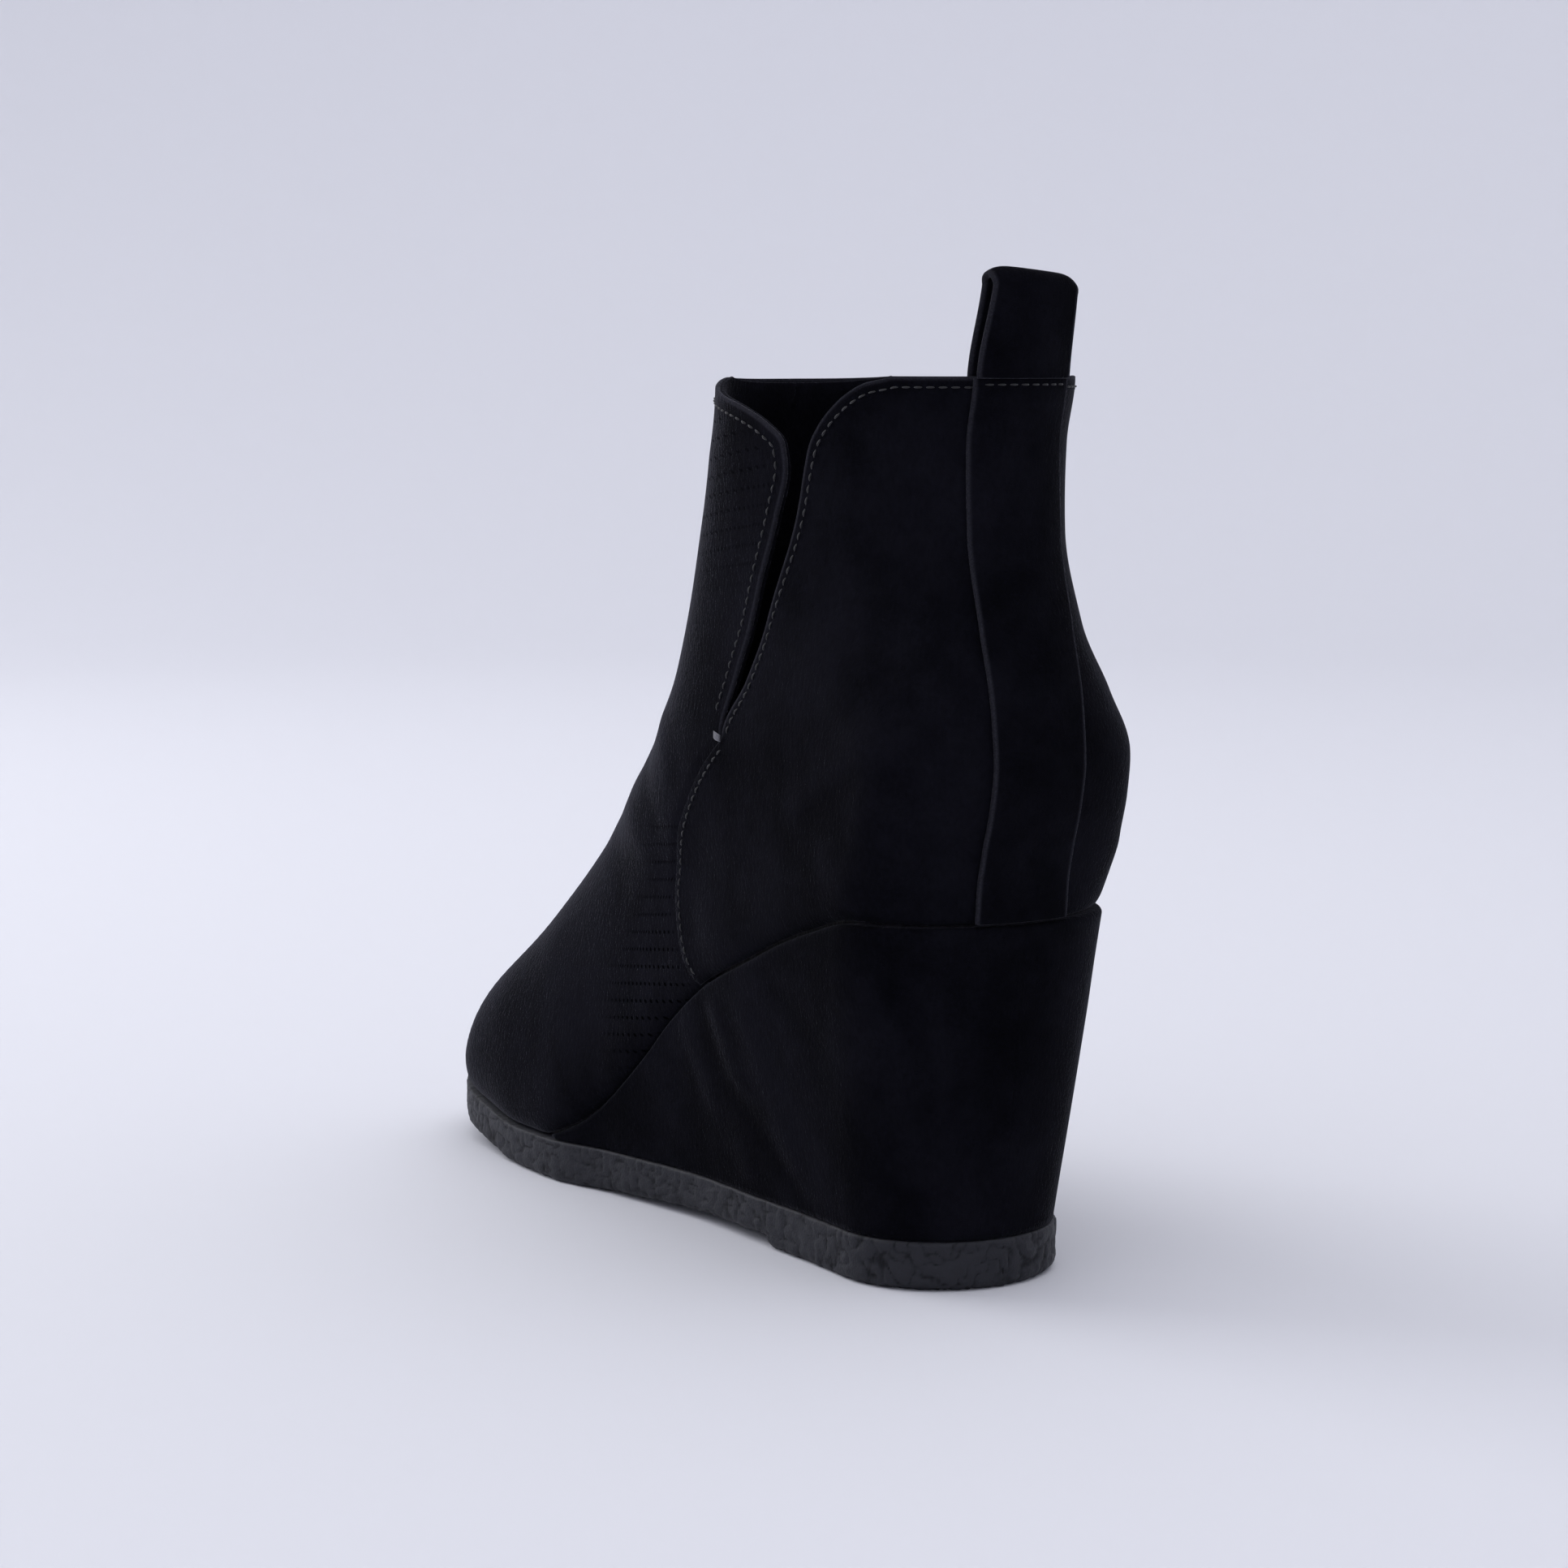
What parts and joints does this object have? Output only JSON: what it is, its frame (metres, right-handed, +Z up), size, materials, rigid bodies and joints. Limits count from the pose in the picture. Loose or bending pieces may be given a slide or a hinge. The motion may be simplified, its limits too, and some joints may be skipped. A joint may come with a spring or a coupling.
{
  "type": "wedge ankle boot",
  "caption": "Suede ankle boot with a V-cut collar, a covered wedge heel, a rubber outsole and a pull loop at the back.",
  "frame": {"origin": "middle of the heel's flat spot on the floor", "axes": "+Z up, toe towards -Y, +X towards the wearer's left, the inner side of this right boot"},
  "size_m": [0.0794, 0.2465, 0.2296],
  "materials": {
    "outsole_rubber": "matt crepe-textured moulded rubber",
    "wedge_suede": "soft black suede stretched over the wedge",
    "insole_sock": "plain dark sock",
    "upper_suede": "soft black suede with brushed nap",
    "trim_suede": "black suede strip, edge stitched"
  },
  "bodies": {
    "root": {"outsole": "outsole_rubber", "wedge": "wedge_suede", "insole": "insole_sock", "upper": "upper_suede", "back_strip": "trim_suede", "pull_loop": "trim_suede"}
  },
  "joints": []
}
